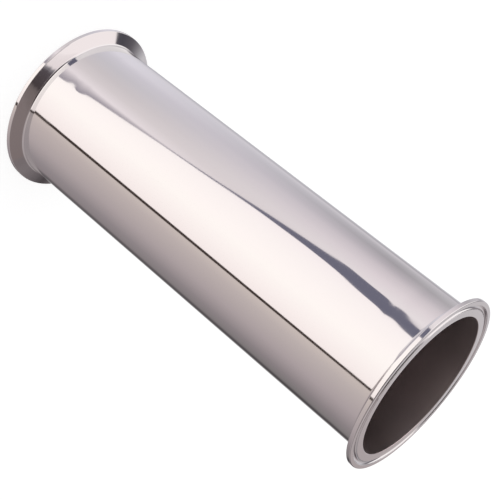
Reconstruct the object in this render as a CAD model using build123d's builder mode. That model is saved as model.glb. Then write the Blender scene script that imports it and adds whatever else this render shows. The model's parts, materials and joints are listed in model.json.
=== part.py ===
"""Sanitary spool pipe, 4 inch clamp size, 12 inches long, in polished stainless steel.

A spool is a straight length of thin-walled tube with a clamp ferrule butt-welded to
each end. The welds are ground and polished flush, inside and out, so the bore runs
through at one diameter. Each ferrule is turned: a flange with a gasket groove in its
face, a back tapered for the clamp ring, and a short neck of the tube's own section.

The pipe stands on its lower ferrule. The origin is the centre of that ferrule's face,
and +Z runs up the bore. All sizes are in millimetres.
"""

import os
from math import radians, tan

from build123d import *

INCH = 25.4

# The pipe
overall_length = 12 * INCH  # face to face
tube_od = 4 * INCH
tube_wall = 2.108  # 0.083 inch, the wall of sanitary tube in this size

# The ferrules
ferrule_length = 1 * INCH  # from the clamp face to the weld
flange_overhang = 8.66  # how far the flange stands out from the tube, all round
rim_thickness = 2.84  # the straight edge of the flange
back_taper = 20.0  # degrees, between the flange's back and a flat plane
root_fillet = 1.6  # where the flange's back meets the neck
rim_round = 0.5  # the two corners of the rim
bore_round = 0.35  # the corner between the face and the bore

# The gasket groove in each face, a shallow arc in section
groove_inset = 4.29  # from the rim to the middle of the groove
groove_width = 2.9
groove_depth = 1.35

# Worked out from the sizes above
tube_radius = tube_od / 2
bore_radius = tube_radius - tube_wall
flange_radius = tube_radius + flange_overhang
groove_middle = flange_radius - groove_inset
taper_drop = flange_overhang * tan(radians(back_taper))
tube_length = overall_length - 2 * ferrule_length


def corner(sketch, across, along):
    """The corner of a ferrule's half section at that radius and height above its face."""
    return sketch.vertices().sort_by_distance(Vector(across, along))[0]


def ferrule_section():
    """Half of a ferrule's section, with X out from the axis and Y along it.

    The outline is the bore, the face, the rim, the tapered back, and the neck up to the
    weld. The groove is cut into the face, and then the corners are rounded.
    """
    with BuildSketch() as section:
        with BuildLine():
            Polyline(
                (bore_radius, 0),
                (flange_radius, 0),
                (flange_radius, rim_thickness),
                (tube_radius, rim_thickness + taper_drop),
                (tube_radius, ferrule_length),
                (bore_radius, ferrule_length),
                close=True,
            )
        make_face()
        with BuildSketch(mode=Mode.PRIVATE) as groove:
            with BuildLine():
                lip = Line(
                    (groove_middle - groove_width / 2, 0),
                    (groove_middle + groove_width / 2, 0),
                )
                ThreePointArc(lip @ 1, (groove_middle, groove_depth), lip @ 0)
            make_face()
        add(groove.sketch, mode=Mode.SUBTRACT)

        fillet(corner(section.sketch_local, tube_radius, rim_thickness + taper_drop), root_fillet)
        for height in (0, rim_thickness):
            fillet(corner(section.sketch_local, flange_radius, height), rim_round)
        fillet(corner(section.sketch_local, bore_radius, 0), bore_round)
    return section.sketch


def turned_ferrule(face):
    """A ferrule with its clamp face on a plane whose normal runs in along the bore."""
    with BuildPart() as ferrule:
        across = Plane(face.origin, x_dir=face.x_dir, z_dir=face.x_dir.cross(face.z_dir))
        with BuildSketch(across):
            add(ferrule_section())
        revolve(axis=Axis(face.origin, face.z_dir))
    return ferrule.part


# The lower ferrule: its face is on the floor and its neck points up.
with BuildPart() as lower_ferrule:
    add(turned_ferrule(Plane.XY))

# The upper ferrule: the same part turned over, with its face at the top of the pipe.
with BuildPart() as upper_ferrule:
    add(turned_ferrule(Plane((0, 0, overall_length), x_dir=(1, 0, 0), z_dir=(0, 0, -1))))

# The tube: cut square at both ends, and butted against the two necks.
with BuildPart() as tube:
    with BuildSketch(Plane.XY.offset(ferrule_length)):
        Circle(tube_radius)
        Circle(bore_radius, mode=Mode.SUBTRACT)
    extrude(amount=tube_length)

os.makedirs("parts", exist_ok=True)
for name, piece in (
    ("lower_ferrule", lower_ferrule),
    ("tube", tube),
    ("upper_ferrule", upper_ferrule),
):
    piece.part.label = name
    export_step(piece.part, f"parts/{name}.step")
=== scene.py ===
"""Dresses a 4 inch sanitary spool pipe in polished stainless steel, on a pale studio floor.

The pipe stands on its lower ferrule, with +Z up its bore. The sections follow its making:
the two turned ferrules, the tube between them, and then the floor, the light and the camera.
Sizes are in millimetres until a mesh is made, where they become metres.
"""

import json
import math

import bpy
import numpy as np
from mathutils import Euler, Matrix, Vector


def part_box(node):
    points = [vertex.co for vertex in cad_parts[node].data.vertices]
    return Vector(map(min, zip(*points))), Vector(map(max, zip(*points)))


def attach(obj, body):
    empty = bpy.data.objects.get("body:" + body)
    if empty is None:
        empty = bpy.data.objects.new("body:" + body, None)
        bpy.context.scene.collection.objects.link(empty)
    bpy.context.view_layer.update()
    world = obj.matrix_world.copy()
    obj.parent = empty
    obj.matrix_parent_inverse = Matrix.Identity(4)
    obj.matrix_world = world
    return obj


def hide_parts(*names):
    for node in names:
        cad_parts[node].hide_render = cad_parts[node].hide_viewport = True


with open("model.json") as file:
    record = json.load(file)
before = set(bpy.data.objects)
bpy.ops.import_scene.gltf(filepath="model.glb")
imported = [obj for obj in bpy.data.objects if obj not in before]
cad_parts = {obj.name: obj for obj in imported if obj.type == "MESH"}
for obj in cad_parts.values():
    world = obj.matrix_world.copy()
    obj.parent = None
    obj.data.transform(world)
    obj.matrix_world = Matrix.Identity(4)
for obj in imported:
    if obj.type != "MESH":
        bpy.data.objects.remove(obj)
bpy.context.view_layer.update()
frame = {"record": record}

# ---------------------------------------------------------------------------------------
# The ferrules. Each is turned from a stainless steel bar: a flange with a gasket groove in
# its face, a back tapered at 20 degrees for the ring clamp, and a short neck that is butt
# welded to the tube. It is polished after turning, and faint rings stay in the face.
# ---------------------------------------------------------------------------------------

MM = 0.001
mounts = {mount["name"]: mount for mount in frame["record"]["mounts"]}
flange_radius = mounts["upper_rim"]["dims"]["r_mm"]
bore_radius = mounts["flow_bore"]["dims"]["r_mm"]
tube_radius = 50.8
overall_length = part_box("upper_ferrule")[1].z / MM
neck_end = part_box("lower_ferrule")[1].z / MM

rim_thickness = 2.84
back_taper = math.radians(20)
root_fillet = 1.6
rim_round = 0.5
bore_round = 0.35
groove_inset = 4.29
groove_width = 2.9
groove_depth = 1.35
groove_round = 0.2

weld_dip = 0.05  # the ground weld lies a little below the tube and the neck
weld_reach = 5.0  # how far the grinding runs along the pipe, either side of the weld
turns = 720  # columns of the mesh, round the pipe


def arc(across, along, radius, start, end, steps=8, hollow=False):
    """An arc of a half section, as rows of radius, height and the outward normal's two parts.

    A point is the centre plus the radius times the cosine and sine of its angle, in degrees.
    The normal is the same cosine and sine, turned round where the arc is a hollow.
    """
    turn = np.radians(np.linspace(start, end, steps + 1))
    side = -1 if hollow else 1
    return np.stack(
        [
            across + radius * np.cos(turn),
            along + radius * np.sin(turn),
            side * np.cos(turn),
            side * np.sin(turn),
        ],
        axis=1,
    )


def line(start, end, normal, steps=1):
    """A straight run of a half section: points in even steps, all with the one normal."""
    share = np.linspace(0, 1, steps + 1)[:, None]
    points = np.array(start, float) * (1 - share) + np.array(end, float) * share
    return np.hstack([points, np.tile(np.array(normal, float), (steps + 1, 1))])


def ground_line(start, end, weld, steps):
    """An outer wall that sinks at its ground weld.

    The radius drops by the dip times exp(-(d / reach) squared), d being the distance from
    the weld, and the normal leans by the slope of that.
    """
    height = np.linspace(start, end, steps + 1)
    away = (height - weld) / weld_reach
    sink = weld_dip * np.exp(-(away**2))
    slope = 2 * away / weld_reach * sink
    length = np.hypot(1, slope)
    return np.stack([tube_radius - sink, height, 1 / length, -slope / length], axis=1)


def revolved(name, runs):
    """A closed solid of revolution from the runs of its half section, in order.

    A mesh point is (radius cos t, radius sin t, height), for even steps of t round Z. Each
    corner of a face has the run's own normal there, turned by the same t, so that runs which
    meet smoothly shade smoothly, and runs which meet at a corner keep it sharp.
    """
    rows = np.vstack([run[:-1] for run in runs])
    count = len(rows)
    first = np.vstack([run[:-1, 2:] for run in runs])
    second = np.vstack([run[1:, 2:] for run in runs])
    t = np.arange(turns) * 2 * np.pi / turns
    round_x, round_y = np.cos(t), np.sin(t)

    points = np.empty((count, turns, 3))
    points[..., 0] = rows[:, :1] * round_x * MM
    points[..., 1] = rows[:, :1] * round_y * MM
    points[..., 2] = rows[:, 1:2] * MM

    row, column = np.meshgrid(np.arange(count), np.arange(turns), indexing="ij")
    next_row, next_column = (row + 1) % count, (column + 1) % turns
    faces = np.stack(
        [
            row * turns + column,
            row * turns + next_column,
            next_row * turns + next_column,
            next_row * turns + column,
        ],
        axis=-1,
    ).reshape(-1, 4)

    normals = np.empty((count, turns, 4, 3))
    for corner, (lean, place) in enumerate(
        ((first, column), (first, next_column), (second, next_column), (second, column))
    ):
        normals[..., corner, 0] = lean[:, :1] * round_x[place]
        normals[..., corner, 1] = lean[:, :1] * round_y[place]
        normals[..., corner, 2] = lean[:, 1:2]

    mesh = bpy.data.meshes.new(name)
    mesh.from_pydata(points.reshape(-1, 3), [], faces.tolist())
    mesh.polygons.foreach_set("use_smooth", np.ones(len(faces), bool))
    mesh.normals_split_custom_set(normals.reshape(-1, 3))
    mesh.update()
    piece = bpy.data.objects.new(name, mesh)
    bpy.context.scene.collection.objects.link(piece)
    return piece


def ferrule_runs():
    """The half section of the lower ferrule, anticlockwise from the bore's end of its face.

    It runs along the face and through the groove to the rim, back down the taper to the
    neck, along the neck to the weld, and down the bore.
    """
    groove_middle = flange_radius - groove_inset
    groove_radius = (groove_width**2 / 4 + groove_depth**2) / (2 * groove_depth)
    groove_height = groove_depth - groove_radius
    lip_rise = groove_round - groove_height
    lip_reach = math.sqrt((groove_radius + groove_round) ** 2 - lip_rise**2)
    lip_turn = math.degrees(math.atan2(lip_rise, lip_reach))
    inner_lip, outer_lip = groove_middle - lip_reach, groove_middle + lip_reach

    taper = math.degrees(back_taper)
    back_lean = (math.sin(back_taper), math.cos(back_taper))
    half_turn = math.tan((math.pi / 2 - back_taper) / 2)
    rim_top = rim_thickness - rim_round * half_turn
    root_height = rim_thickness + (flange_radius - tube_radius) * math.tan(back_taper)
    root_rise = root_fillet * half_turn

    face = bore_radius + bore_round
    rim = flange_radius - rim_round
    foot = arc(rim, rim_round, rim_round, 270, 360)
    shoulder = arc(rim, rim_top, rim_round, 0, 90 - taper)
    root = arc(
        tube_radius + root_fillet,
        root_height + root_rise,
        root_fillet,
        270 - taper,
        180,
        steps=10,
        hollow=True,
    )
    return [
        line((face, 0), (inner_lip, 0), (0, -1)),
        arc(inner_lip, groove_round, groove_round, 270, 360 - lip_turn, steps=6),
        arc(
            groove_middle,
            groove_height,
            groove_radius,
            180 - lip_turn,
            lip_turn,
            steps=20,
            hollow=True,
        ),
        arc(outer_lip, groove_round, groove_round, 180 + lip_turn, 270, steps=6),
        line((outer_lip, 0), (rim, 0), (0, -1)),
        foot,
        line(foot[-1, :2], shoulder[0, :2], (1, 0)),
        shoulder,
        line(shoulder[-1, :2], root[0, :2], back_lean, steps=4),
        root,
        ground_line(root[-1, 1], neck_end, neck_end, steps=20),
        line((tube_radius - weld_dip, neck_end), (bore_radius, neck_end), (0, 1)),
        line((bore_radius, neck_end), (bore_radius, bore_round), (-1, 0), steps=8),
        arc(face, bore_round, bore_round, 180, 270, steps=6),
    ]


def turned_over(runs):
    """The same half section for the upper end: each height is taken from the pipe's top.

    Flipping the height would turn the solid inside out, so the runs are also reversed.
    """
    flipped = []
    for run in reversed(runs):
        copy = run[::-1].copy()
        copy[:, 1] = overall_length - copy[:, 1]
        copy[:, 3] *= -1
        flipped.append(copy)
    return flipped


def linear(colour):
    """A hex sRGB colour as linear red, green and blue, with an alpha of 1."""
    share = [int(colour[i : i + 2], 16) / 255 for i in (1, 3, 5)]
    return [s / 12.92 if s <= 0.04045 else ((s + 0.055) / 1.055) ** 2.4 for s in share] + [1]


def node(tree, kind, inputs=None, **settings):
    """Adds a node, sets its settings, and fills or links its inputs."""
    made = tree.nodes.new(kind)
    for key, value in settings.items():
        setattr(made, key, value)
    for key, value in (inputs or {}).items():
        if isinstance(value, bpy.types.NodeSocket):
            tree.links.new(value, made.inputs[key])
        else:
            made.inputs[key].default_value = value
    return made


# A mix node's two colours and its mixed colour. Its sockets for them share their names with
# others, so they are called by number.
UNDER, OVER, MIXED = 6, 7, 2


def polished_steel(name, tint, roughness, bore_dullness, ring_pitch):
    """Stainless steel, turned or rolled, then mechanically polished outside.

    The colour is the grey of 304 steel. The polish leaves soft clouds a few centimetres
    across in the gloss, and fine rings round the pipe, drawn at ring_pitch millimetres, which
    is coarser than the real ones so that they show. The bore was only pickled, so it is dull.
    Its colour is darker and warmer than the outside, in soft blotches: partly a light stain,
    and partly painted shade inside the tube.
    """
    cloud_size = 35 * MM
    cloud_spread = 0.15  # how far the roughness strays from its middle, as a share of it
    blotch_size = 60 * MM
    ring_height = 0.0006 * MM

    material = bpy.data.materials.new(name)
    material.use_nodes = True
    tree = material.node_tree
    shader = tree.nodes["Principled BSDF"]
    shader.inputs["Metallic"].default_value = 1.0

    place = node(tree, "ShaderNodeTexCoord")
    axes = node(tree, "ShaderNodeSeparateXYZ", {"Vector": place.outputs["Object"]})
    flat = node(
        tree,
        "ShaderNodeCombineXYZ",
        {"X": axes.outputs["X"], "Y": axes.outputs["Y"], "Z": 0.0},
    )
    out = node(tree, "ShaderNodeVectorMath", {0: flat.outputs[0]}, operation="LENGTH")
    inside = node(
        tree,
        "ShaderNodeMath",
        {0: out.outputs["Value"], 1: (bore_radius + bore_round / 2) * MM},
        operation="LESS_THAN",
    )

    clouds = node(
        tree,
        "ShaderNodeTexNoise",
        {"Vector": place.outputs["Object"], "Scale": 1 / cloud_size, "Detail": 3.0},
    )
    gloss = node(
        tree,
        "ShaderNodeMapRange",
        {
            "Value": clouds.outputs["Fac"],
            "From Min": 0.3,
            "From Max": 0.7,
            "To Min": roughness * (1 - cloud_spread),
            "To Max": roughness * (1 + cloud_spread),
        },
    )
    dull = node(
        tree,
        "ShaderNodeMix",
        {
            "Factor": inside.outputs["Value"],
            "A": gloss.outputs["Result"],
            "B": bore_dullness,
        },
        data_type="FLOAT",
    )
    tree.links.new(dull.outputs["Result"], shader.inputs["Roughness"])

    # The bore's colour, in soft blotches between two tones. On the whole it is darker and warmer
    # than the outside: partly a stain, and partly painted shade inside the tube.
    blotches = node(
        tree,
        "ShaderNodeTexNoise",
        {"Vector": place.outputs["Object"], "Scale": 1 / blotch_size, "Detail": 2.0},
    )
    bore_stain_and_shade = node(
        tree,
        "ShaderNodeMix",
        {
            "Factor": blotches.outputs["Fac"],
            UNDER: linear("#bdb2b1"),
            OVER: linear("#efe6e6"),
        },
        data_type="RGBA",
    )
    metal = node(
        tree,
        "ShaderNodeMix",
        {
            "Factor": inside.outputs["Value"],
            UNDER: linear(tint),
            OVER: bore_stain_and_shade.outputs[MIXED],
        },
        data_type="RGBA",
    )
    tree.links.new(metal.outputs[MIXED], shader.inputs["Base Color"])

    across = node(
        tree,
        "ShaderNodeMath",
        {0: out.outputs["Value"], 1: axes.outputs["Z"]},
        operation="ADD",
    )
    rings = node(
        tree,
        "ShaderNodeTexNoise",
        {"W": across.outputs["Value"], "Scale": 1 / (ring_pitch * MM), "Detail": 2.0},
        noise_dimensions="1D",
    )
    marks = node(
        tree,
        "ShaderNodeBump",
        {"Height": rings.outputs["Fac"], "Distance": ring_height, "Strength": 1.0},
    )
    tree.links.new(marks.outputs["Normal"], shader.inputs["Normal"])
    return material


# Polished 304 bar, turned: bright and a little soft, with faint rings in the face.
ferrule_steel = polished_steel("turned_304_steel", "#e2e2e3", 0.07, 0.3, 0.5)

lower_ferrule = revolved("lower_ferrule_turned", ferrule_runs())
upper_ferrule = revolved("upper_ferrule_turned", turned_over(ferrule_runs()))
for piece, cad_node in ((lower_ferrule, "lower_ferrule"), (upper_ferrule, "upper_ferrule")):
    piece.data.materials.append(ferrule_steel)
    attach(piece, "root")
    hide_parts(cad_node)

# ---------------------------------------------------------------------------------------
# The tube. Strip is rolled round, seam welded and polished until the seam is gone. It is
# cut square and butt welded to both necks, and the beads are ground flush.
# ---------------------------------------------------------------------------------------

lower_weld = neck_end
upper_weld = overall_length - neck_end
middle = overall_length / 2

tube = revolved(
    "tube_polished",
    [
        ground_line(lower_weld, middle, lower_weld, steps=50),
        ground_line(middle, upper_weld, upper_weld, steps=50),
        line((tube_radius - weld_dip, upper_weld), (bore_radius, upper_weld), (0, 1)),
        line((bore_radius, upper_weld), (bore_radius, lower_weld), (-1, 0), steps=20),
        line((bore_radius, lower_weld), (tube_radius - weld_dip, lower_weld), (0, -1)),
    ],
)
# Rolled and polished 304 tube: a near mirror, with clouds where the wheel has pressed.
tube.data.materials.append(polished_steel("polished_304_tube", "#e2e2e3", 0.05, 0.3, 0.8))
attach(tube, "root")
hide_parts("tube")

# ---------------------------------------------------------------------------------------
# The floor: a plain white sheet of studio paper that the pipe stands on. It is matt and keeps
# a soft shadow. The steel doesn't reflect it: the studio's lowest ring stands for it there.
# ---------------------------------------------------------------------------------------

floor_reach = 12.0  # metres
paper_grey = "#bcbcbc"
floor_sides = 64
paper_glow = 0.68  # what lifts the paper to white in the view, and nowhere else
angles = np.arange(floor_sides) * 2 * np.pi / floor_sides
edge = np.stack([np.cos(angles), np.sin(angles), np.zeros(floor_sides)], axis=1) * floor_reach
floor_mesh = bpy.data.meshes.new("floor")
floor_mesh.from_pydata(edge, [], [list(range(floor_sides))])
floor = bpy.data.objects.new("floor", floor_mesh)
bpy.context.scene.collection.objects.link(floor)
floor.visible_glossy = False

paper = bpy.data.materials.new("white_studio_paper")
paper.use_nodes = True
tree = paper.node_tree
tree.nodes.clear()
sheet = node(tree, "ShaderNodeBsdfDiffuse", {"Color": linear(paper_grey)})
seen = node(tree, "ShaderNodeLightPath")
white = node(
    tree,
    "ShaderNodeMath",
    {0: seen.outputs["Is Camera Ray"], 1: paper_glow},
    operation="MULTIPLY",
)
glow = node(tree, "ShaderNodeEmission", {"Color": (1, 1, 1, 1), "Strength": white.outputs[0]})
both = node(tree, "ShaderNodeAddShader", {0: sheet.outputs[0], 1: glow.outputs[0]})
node(tree, "ShaderNodeOutputMaterial", {"Surface": both.outputs[0]})
floor_mesh.materials.append(paper)

# ---------------------------------------------------------------------------------------
# The studio round the pipe, which is what polished steel shows. One large soft light stands
# in front, with a thin dark gap down its left side and a dark flag to its right. The rest is
# walls and cards, told as rings of colour at five heights.
# ---------------------------------------------------------------------------------------

# Each ring: its height, and its colours by azimuth, as the steel shows them. Angles are in
# degrees: azimuth from the front (-Y) towards +X, and height above or below the level.
RINGS = (
    (
        -36,
        (
            (-180, "#8a888e"),
            (-167, "#96949a"),
            (-157, "#b6b3b9"),
            (-146, "#cbc7cd"),
            (-134, "#d2ced5"),
            (-120, "#d5d0d7"),
            (-104, "#c9c4cb"),
            (-86, "#c3bec3"),
            (-66, "#c8c0c2"),
            (-50, "#d2c9ca"),
            (-36, "#e3d9db"),
            (48, "#c7bab4"),
            (60, "#bbaeab"),
            (90, "#ab9f9f"),
            (120, "#8f8688"),
            (140, "#857c7e"),
            (149, "#605a5c"),
            (158, "#565254"),
            (164, "#7d7a7a"),
            (174, "#bcbabb"),
        ),
    ),
    (
        -20,
        (
            (-180, "#aeadb1"),
            (-165, "#bebdc1"),
            (-155, "#9c989d"),
            (-146, "#c0bbbf"),
            (-134, "#aaa6aa"),
            (-122, "#a09b9f"),
            (-108, "#b4acb1"),
            (-96, "#cac0c4"),
            (-80, "#dbd0d3"),
            (-64, "#e3dadb"),
            (48, "#c7bab4"),
            (60, "#bbafac"),
            (90, "#a99d9e"),
            (120, "#877e80"),
            (140, "#757070"),
            (149, "#474345"),
            (155, "#454143"),
            (161, "#7a7777"),
            (170, "#cfcdce"),
        ),
    ),
    (
        15,
        (
            (-180, "#b9b3b4"),
            (-158, "#bebabd"),
            (-150, "#6c666a"),
            (-143, "#6c666a"),
            (-135, "#f4eeed"),
            (-46, "#f8f2f0"),
            (-34, "#241f21"),
            (24, "#1e191b"),
            (40, "#8a8082"),
            (60, "#a09697"),
            (142, "#a49b9b"),
            (150, "#6a6264"),
            (158, "#403b3d"),
            (168, "#8a8082"),
            (177, "#a99f9f"),
        ),
    ),
    (
        34,
        (
            (-180, "#8f8c8f"),
            (-168, "#46434a"),
            (-143, "#46434a"),
            (-137, "#f4eeed"),
            (-60, "#f4eeed"),
            (-44, "#8a8486"),
            (-30, "#241f21"),
            (30, "#241f21"),
            (46, "#8a8082"),
            (60, "#a09697"),
            (120, "#a49b9b"),
            (143, "#72696a"),
            (170, "#757072"),
        ),
    ),
    (
        39,
        (
            (-180, "#50494a"),
            (-164, "#5e575c"),
            (-152, "#b4aeb4"),
            (-144, "#efe5e4"),
            (-56, "#f3e7e6"),
            (-47, "#8e888c"),
            (-32, "#554d51"),
            (40, "#483f40"),
            (48, "#6a605f"),
            (60, "#776b69"),
            (120, "#7e7271"),
            (143, "#786c6b"),
            (152, "#4f4745"),
            (168, "#4c4443"),
        ),
    ),
)
RING_SOFTNESS = {39: 1.0}  # the top ring starts at a hard edge, not a blend


def graded(ramp, stops):
    """Fills a colour ramp with stops of azimuth and colour. The ramp runs from -180 to 180."""
    marks = ramp.color_ramp.elements
    while len(marks) < len(stops):
        marks.new(0.5)
    for mark, (where, shade) in zip(marks, stops):
        mark.position = (where + 180) / 360
        mark.color = linear(shade)


world = bpy.data.worlds.new("studio")
bpy.context.scene.world = world
world.use_nodes = True
tree = world.node_tree
tree.nodes.clear()

look = node(tree, "ShaderNodeTexCoord")
aim = node(tree, "ShaderNodeSeparateXYZ", {"Vector": look.outputs["Generated"]})
front = node(tree, "ShaderNodeMath", {0: aim.outputs["Y"], 1: -1.0}, operation="MULTIPLY")
turn = node(
    tree,
    "ShaderNodeMath",
    {0: aim.outputs["X"], 1: front.outputs[0]},
    operation="ARCTAN2",
)
azimuth = node(tree, "ShaderNodeMath", {0: turn.outputs[0]}, operation="DEGREES").outputs[0]
rise = node(tree, "ShaderNodeMath", {0: aim.outputs["Z"]}, operation="ARCSINE")
height = node(tree, "ShaderNodeMath", {0: rise.outputs[0]}, operation="DEGREES").outputs[0]
share = node(
    tree,
    "ShaderNodeMapRange",
    {"Value": azimuth, "From Min": -180.0, "From Max": 180.0},
).outputs["Result"]

colour, below = None, None
for ring_height, stops in RINGS:
    ring = node(tree, "ShaderNodeValToRGB", {"Fac": share})
    graded(ring, (*stops, (180, stops[0][1])))
    if colour is None:
        colour = ring.outputs["Color"]
    else:
        soft = RING_SOFTNESS.get(ring_height, ring_height - below)
        blend = node(
            tree,
            "ShaderNodeMapRange",
            {
                "Value": height,
                "From Min": float(ring_height - soft),
                "From Max": float(ring_height),
            },
        )
        colour = node(
            tree,
            "ShaderNodeMix",
            {
                "Factor": blend.outputs["Result"],
                UNDER: colour,
                OVER: ring.outputs["Color"],
            },
            data_type="RGBA",
        ).outputs[MIXED]
    below = ring_height

# The front light's right edge, the flag beside it and the shade below the flag lean with
# height, so each follows a smooth curve: height, then the azimuth to the right of the front,
# or the flag's or shade's width.
LIGHT_EDGE = (
    (-60, 14),
    (-38.4, 17),
    (-37.5, 18),
    (-36.5, 22.4),
    (-34.8, 27),
    (-32.2, 34),
    (-29.4, 40),
    (-27.9, 43.6),
    (-25.6, 47),
    (-22.9, 48.5),
    (-20.7, 45),
    (-18.6, 43),
    (-17.4, 40.3),
    (-10, 38),
    (60, 38),
)
FLAG_WIDTH = (
    (-60, 0),
    (-33, 0),
    (-31, 1.4),
    (-28.6, 2.4),
    (-25.6, 6.2),
    (-22.9, 11.2),
    (-20.7, 17.6),
    (-18.6, 18.4),
    (-17.4, 15),
    (-10, 14),
    (60, 14),
)
SHADE_WIDTH = (
    (-60, 20),
    (-37.3, 19),
    (-36.6, 13),
    (-34.8, 8),
    (-32.2, 3),
    (-29, 1),
    (-25, 0.5),
    (60, 0.5),
)
NARROWEST_SHADE = 0.5  # the smooth curve may dip below this between its points
CURVE_LOW, CURVE_HIGH, CURVE_SPAN = -60.0, 60.0, 60.0
level = node(
    tree,
    "ShaderNodeMapRange",
    {"Value": height, "From Min": CURVE_LOW, "From Max": CURVE_HIGH},
).outputs["Result"]
followed = []
for points in (LIGHT_EDGE, FLAG_WIDTH, SHADE_WIDTH):
    curve = node(tree, "ShaderNodeFloatCurve", {"Value": level})
    line_points = curve.mapping.curves[0].points
    while len(line_points) < len(points):
        line_points.new(0.5, 0.5)
    for point, (where, value) in zip(line_points, points):
        point.location = ((where - CURVE_LOW) / (CURVE_HIGH - CURVE_LOW), value / CURVE_SPAN)
    curve.mapping.update()
    followed.append(
        node(
            tree,
            "ShaderNodeMath",
            {0: curve.outputs[0], 1: -CURVE_SPAN},
            operation="MULTIPLY",
        ).outputs[0]
    )
right_edge, flag_width, shade_width = followed
shade_width = node(
    tree, "ShaderNodeMath", {0: shade_width, 1: -NARROWEST_SHADE}, operation="MINIMUM"
).outputs[0]
flag_edge = node(tree, "ShaderNodeMath", {0: right_edge, 1: flag_width}, operation="ADD").outputs[0]

# The gap down the light's left side leans a little and is wider low down. Each of its sides
# has two azimuths: one at the height that the pipe's foot reflects, and one at its top's.
FOOT_SHOWS, TOP_SHOWS = -38.0, -17.0
GAP = ((45.2, 43.1), (49.4, 46.2))
left_edge, gap_edge = (
    node(
        tree,
        "ShaderNodeMapRange",
        {
            "Value": height,
            "From Min": FOOT_SHOWS,
            "From Max": TOP_SHOWS,
            "To Min": at_foot,
            "To Max": at_top,
        },
    ).outputs["Result"]
    for at_foot, at_top in GAP
)

# Low down, a mauve shade lies past the light's right edge, and fades over the shade's width.
past_light = node(tree, "ShaderNodeMath", {0: azimuth, 1: right_edge}, operation="SUBTRACT")
faded = node(
    tree,
    "ShaderNodeMath",
    {0: past_light.outputs[0], 1: shade_width},
    operation="DIVIDE",
    use_clamp=True,
)
beyond = node(tree, "ShaderNodeMath", {0: azimuth, 1: right_edge}, operation="LESS_THAN")
shade = node(
    tree,
    "ShaderNodeMath",
    {0: beyond.outputs[0], 1: faded.outputs[0]},
    operation="SUBTRACT",
    use_clamp=True,
)
colour = node(
    tree,
    "ShaderNodeMix",
    {"Factor": shade.outputs[0], UNDER: colour, OVER: linear("#8c858f")},
    data_type="RGBA",
).outputs[MIXED]

# The front light's colours by azimuth. It is brightest at its middle.
LIGHT_STOPS = (
    (-46, "#f7edec"),
    (-30, "#fbf2ef"),
    (-8, "#fff6f2"),
    (6, "#fff7f2"),
    (24, "#fbf1ed"),
    (46, "#f4e8e5"),
)
glow = node(tree, "ShaderNodeValToRGB", {"Fac": share})
graded(glow, LIGHT_STOPS)

# Each band lies between two azimuths, with its colour and the softness of its edges. All of
# them fade out a little above the level of the pipe's top.
FADE_STARTS, FADE_ENDS = 9.0, 14.0
under = node(
    tree,
    "ShaderNodeMapRange",
    {"Value": height, "From Min": FADE_ENDS, "From Max": FADE_STARTS},
).outputs["Result"]
for low, high, shade, soft in (
    (flag_edge, right_edge, linear("#6a6877"), 0.8),
    (right_edge, left_edge, glow.outputs["Color"], 0.8),
    (left_edge, gap_edge, linear("#3a302d"), 0.6),
):
    band = under
    for bound, side in ((low, 1.0), (high, -1.0)):
        past = node(tree, "ShaderNodeMath", {0: azimuth, 1: bound}, operation="SUBTRACT")
        within = node(
            tree,
            "ShaderNodeMapRange",
            {
                "Value": past.outputs[0],
                "From Min": -side * soft / 2,
                "From Max": side * soft / 2,
            },
        ).outputs["Result"]
        band = node(tree, "ShaderNodeMath", {0: band, 1: within}, operation="MULTIPLY").outputs[0]
    colour = node(
        tree,
        "ShaderNodeMix",
        {"Factor": band, UNDER: colour, OVER: shade},
        data_type="RGBA",
    ).outputs[MIXED]

# Steel shows about three quarters of what it reflects, so the rings shine that much more.
STEEL_SHARE = 0.76
DOME_LIGHT = 0.75  # lights the floor, evenly from all round
WHITE = (1, 1, 1, 1)
ray = node(tree, "ShaderNodeLightPath")
round_steel = node(
    tree, "ShaderNodeBackground", {"Color": colour, "Strength": 1 / STEEL_SHARE}
)
dome = node(tree, "ShaderNodeBackground", {"Color": WHITE, "Strength": DOME_LIGHT})
behind = node(tree, "ShaderNodeBackground", {"Color": WHITE, "Strength": 1.0})
reflected = node(
    tree,
    "ShaderNodeMixShader",
    {0: ray.outputs["Is Glossy Ray"], 1: dome.outputs[0], 2: round_steel.outputs[0]},
)
shown = node(
    tree,
    "ShaderNodeMath",
    {0: ray.outputs["Is Camera Ray"], 1: ray.outputs["Is Transmission Ray"]},
    operation="MAXIMUM",
)
final = node(
    tree,
    "ShaderNodeMixShader",
    {0: shown.outputs[0], 1: reflected.outputs[0], 2: behind.outputs[0]},
)
node(tree, "ShaderNodeOutputWorld", {"Surface": final.outputs[0]})

# ---------------------------------------------------------------------------------------
# The camera looks down at the standing pipe and is rolled far over, so that the pipe lies
# aslant in the view with its mouth at the lower right. Its angles are in degrees.
# ---------------------------------------------------------------------------------------

camera_out = 658.8
camera_up = 487.2
look_down = 25.906
look_aside = 0.129
roll = 129.145
lens = 85.882

camera_data = bpy.data.cameras.new("camera")
camera_data.lens = lens
camera_data.sensor_width = 36.0
camera = bpy.data.objects.new("camera", camera_data)
upright = Euler((math.radians(90 - look_down), 0, math.radians(-look_aside))).to_matrix()
rolled = Matrix.Rotation(math.radians(roll), 3, "Z")
camera.matrix_world = (
    Matrix.Translation((0, -camera_out * MM, camera_up * MM)) @ (upright @ rolled).to_4x4()
)
bpy.context.scene.collection.objects.link(camera)
bpy.context.scene.camera = camera
bpy.context.scene.view_settings.view_transform = "Standard"
